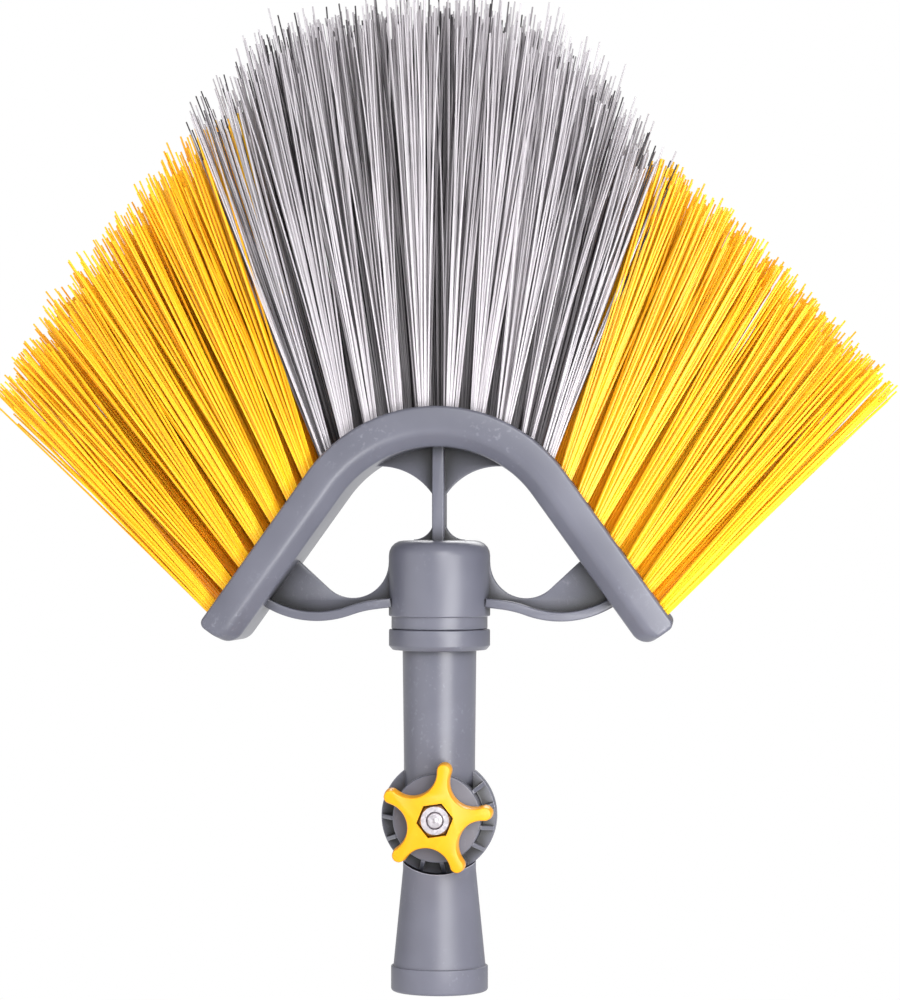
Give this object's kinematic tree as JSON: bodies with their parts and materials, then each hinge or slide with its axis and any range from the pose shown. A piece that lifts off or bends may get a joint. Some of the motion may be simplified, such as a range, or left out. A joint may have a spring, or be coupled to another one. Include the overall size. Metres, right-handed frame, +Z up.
{
  "type": "ceiling brush",
  "caption": "Ceiling brush with a fan of grey and yellow bristles on an arched bar, a turning neck, a clamped tilting joint with star knob and a tapered pole socket.",
  "frame": {"origin": "centre of the pole socket's mouth", "axes": "+Z up the pole's axis towards the bristles, -Y to the front with the knob, +X to the right of someone facing the knob"},
  "size_m": [0.3059, 0.0578, 0.3477],
  "materials": {
    "body_plastic": "blue-grey injection-moulded plastic, semi-gloss, with faint flow marks",
    "knob_plastic": "bright yellow moulded plastic, semi-gloss",
    "grey_bristle": "silver-grey polymer filament, satin",
    "yellow_bristle": "golden yellow polymer filament, satin",
    "zinc_steel": "bright zinc plating"
  },
  "bodies": {
    "socket": {"pole_socket": "body_plastic", "clamp_bolt": "zinc_steel"},
    "neck": {"neck": "body_plastic"},
    "head": {"brush_head": "body_plastic", "yellow_left_row_1": "yellow_bristle", "yellow_left_row_2": "yellow_bristle", "yellow_left_row_3": "yellow_bristle", "yellow_left_row_4": "yellow_bristle", "grey_row_1": "grey_bristle", "grey_row_2": "grey_bristle", "grey_row_3": "grey_bristle", "grey_row_4": "grey_bristle", "yellow_right_row_1": "yellow_bristle", "yellow_right_row_2": "yellow_bristle", "yellow_right_row_3": "yellow_bristle", "yellow_right_row_4": "yellow_bristle"},
    "washer": {"knob_washer": "zinc_steel"},
    "knob": {"star_knob": "knob_plastic", "clamp_nut": "zinc_steel"}
  },
  "joints": [
    {"name": "tilt", "type": "hinge", "parent": "socket", "child": "neck", "pos_m": [0, 0, 0.0621], "axis": [0, 1, 0], "range_deg": [-100, 100]},
    {"name": "head_turn", "type": "hinge", "parent": "neck", "child": "head", "pos_m": [0, 0, 0.1282], "axis": [0, 0, 1], "continuous": true},
    {"name": "knob_lift", "type": "slide", "parent": "socket", "child": "washer", "axis": [0, -1, 0], "range_m": [0, 0.002]},
    {"name": "knob_turn", "type": "hinge", "parent": "washer", "child": "knob", "pos_m": [0, -0.015, 0.0621], "axis": [0, -1, 0], "range_deg": [0, 720]}
  ],
  "couplings": [
    {"joint": "knob_turn", "follows": "knob_lift", "rad_per_m": 6283.2}
  ]
}
